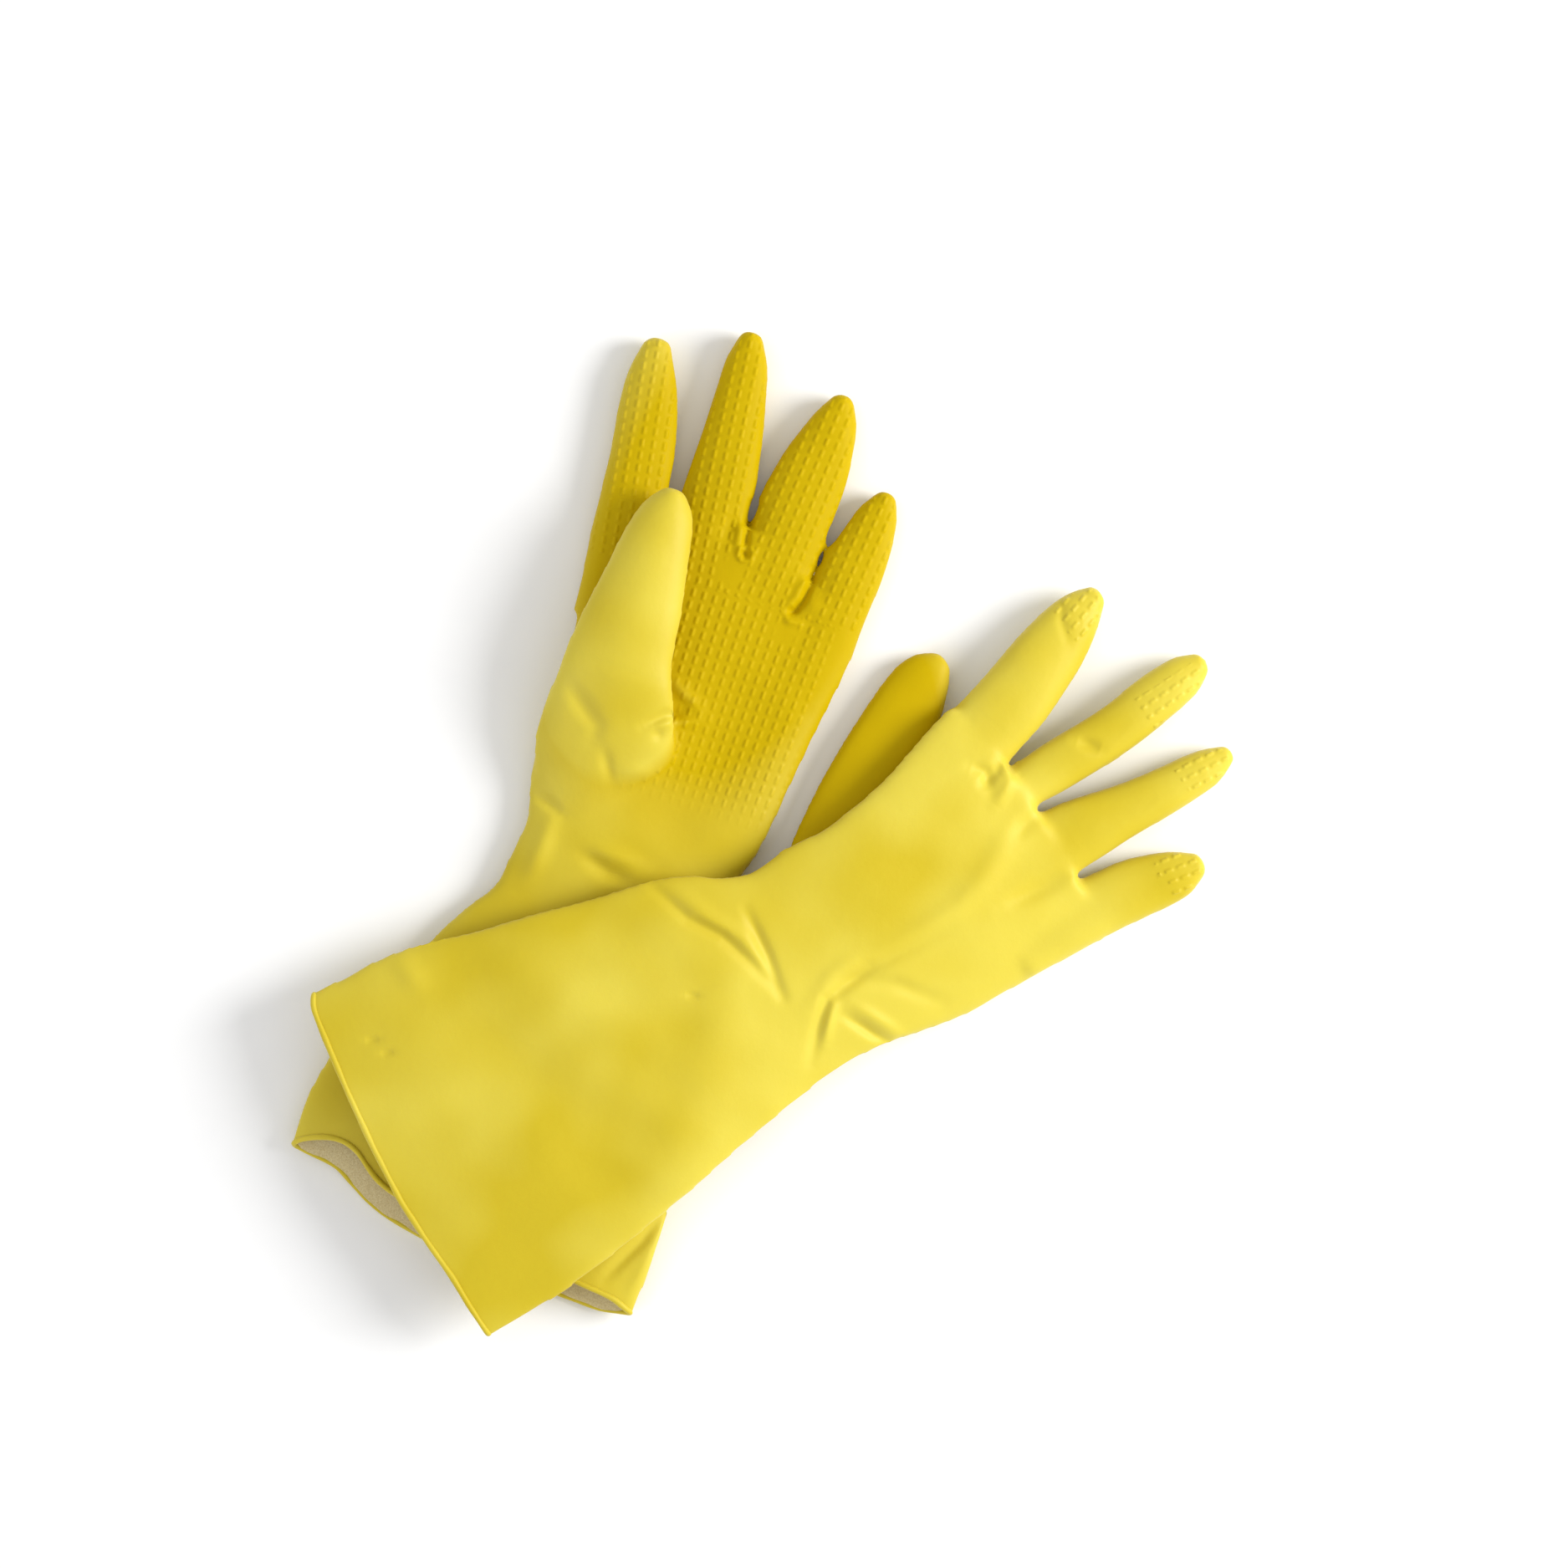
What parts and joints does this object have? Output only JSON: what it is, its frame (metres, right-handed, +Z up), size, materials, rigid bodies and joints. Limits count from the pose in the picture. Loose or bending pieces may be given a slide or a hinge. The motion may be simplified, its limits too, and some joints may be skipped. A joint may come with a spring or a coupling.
{
  "type": "pair of rubber gloves",
  "caption": "Pair of flock-lined latex household gloves lying crossed, one palm up and one back up, with stalls that bend, wrists that fold and an upper glove that lifts off.",
  "frame": {"origin": "under the middle of the pair's outline, on the surface that the gloves lie on", "axes": "+Z up, +Y along the lower (left-hand) glove from its mouth to its fingertips, +X towards that glove's little finger"},
  "size_m": [0.2678, 0.3426, 0.0297],
  "materials": {
    "latex": "satin",
    "flock": "matte"
  },
  "bodies": {
    "left_cuff_body": {"left_cuff": "latex", "left_cuff_bead": "latex", "left_cuff_lining": "flock"},
    "left_hand_body": {"left_hand": "latex", "left_hand_lining": "flock"},
    "left_thumb_body": {"left_thumb": "latex", "left_thumb_lining": "flock"},
    "left_index_body": {"left_index": "latex", "left_index_lining": "flock"},
    "left_middle_body": {"left_middle": "latex", "left_middle_lining": "flock"},
    "left_ring_body": {"left_ring": "latex", "left_ring_lining": "flock"},
    "left_little_body": {"left_little": "latex", "left_little_lining": "flock"},
    "right_cuff_body": {"right_cuff": "latex", "right_cuff_bead": "latex", "right_cuff_lining": "flock"},
    "right_hand_body": {"right_hand": "latex", "right_hand_lining": "flock"},
    "right_thumb_body": {"right_thumb": "latex", "right_thumb_lining": "flock"},
    "right_index_body": {"right_index": "latex", "right_index_lining": "flock"},
    "right_middle_body": {"right_middle": "latex", "right_middle_lining": "flock"},
    "right_ring_body": {"right_ring": "latex", "right_ring_lining": "flock"},
    "right_little_body": {"right_little": "latex", "right_little_lining": "flock"}
  },
  "joints": [
    {"name": "left_wrist_bend", "type": "hinge", "parent": "left_cuff_body", "child": "left_hand_body", "pos_m": [-0.0481, 0.0037, 0.0135], "axis": [1, 0, 0], "range_deg": [0, 45], "stiffness_Nm_per_rad": 0.01},
    {"name": "left_thumb_lift", "type": "hinge", "parent": "left_hand_body", "child": "left_thumb_body", "pos_m": [-0.0708, 0.0527, 0.0298], "axis": [1, 0, 0], "range_deg": [0, 80], "stiffness_Nm_per_rad": 0.004},
    {"name": "left_index_curl", "type": "hinge", "parent": "left_hand_body", "child": "left_index_body", "pos_m": [-0.0852, 0.1167, 0.0129], "axis": [0.9885, 0.1513, 0], "range_deg": [0, 80], "stiffness_Nm_per_rad": 0.004},
    {"name": "left_middle_curl", "type": "hinge", "parent": "left_hand_body", "child": "left_middle_body", "pos_m": [-0.0577, 0.1167, 0.0131], "axis": [0.9951, 0.0993, 0], "range_deg": [0, 80], "stiffness_Nm_per_rad": 0.004},
    {"name": "left_ring_curl", "type": "hinge", "parent": "left_hand_body", "child": "left_ring_body", "pos_m": [-0.0313, 0.1147, 0.0131], "axis": [0.9962, -0.0872, 0], "range_deg": [0, 80], "stiffness_Nm_per_rad": 0.004},
    {"name": "left_little_curl", "type": "hinge", "parent": "left_hand_body", "child": "left_little_body", "pos_m": [-0.0076, 0.1025, 0.0127], "axis": [0.9945, -0.1045, 0], "range_deg": [0, 80], "stiffness_Nm_per_rad": 0.004},
    {"name": "right_lift_off", "type": "slide", "parent": "left_cuff_body", "child": "right_cuff_body", "axis": [0, 0, 1], "range_m": [0, 0.12]},
    {"name": "right_wrist_bend", "type": "hinge", "parent": "right_cuff_body", "child": "right_hand_body", "pos_m": [0.01854, -0.02085, 0.0245], "axis": [0.7771, -0.6293, 0], "range_deg": [0, 60], "stiffness_Nm_per_rad": 0.01},
    {"name": "right_thumb_swing", "type": "hinge", "parent": "right_hand_body", "child": "right_thumb_body", "pos_m": [-0.00178, 0.01569, 0.006], "axis": [0, 0, 1], "range_deg": [0, 8], "stiffness_Nm_per_rad": 0.004},
    {"name": "right_index_curl", "type": "hinge", "parent": "right_hand_body", "child": "right_index_body", "pos_m": [0.05246, 0.07316, 0.0188], "axis": [0.9272, -0.3746, 0], "range_deg": [0, 80], "stiffness_Nm_per_rad": 0.004},
    {"name": "right_middle_curl", "type": "hinge", "parent": "right_hand_body", "child": "right_middle_body", "pos_m": [0.07312, 0.06196, 0.0169], "axis": [0.788, -0.6157, 0], "range_deg": [0, 80], "stiffness_Nm_per_rad": 0.004},
    {"name": "right_ring_curl", "type": "hinge", "parent": "right_hand_body", "child": "right_ring_body", "pos_m": [0.09076, 0.04768, 0.0153], "axis": [0.6947, -0.7193, 0], "range_deg": [0, 80], "stiffness_Nm_per_rad": 0.004},
    {"name": "right_little_curl", "type": "hinge", "parent": "right_hand_body", "child": "right_little_body", "pos_m": [0.1072, 0.02921, 0.0119], "axis": [0.6293, -0.7771, 0], "range_deg": [0, 80], "stiffness_Nm_per_rad": 0.004}
  ]
}
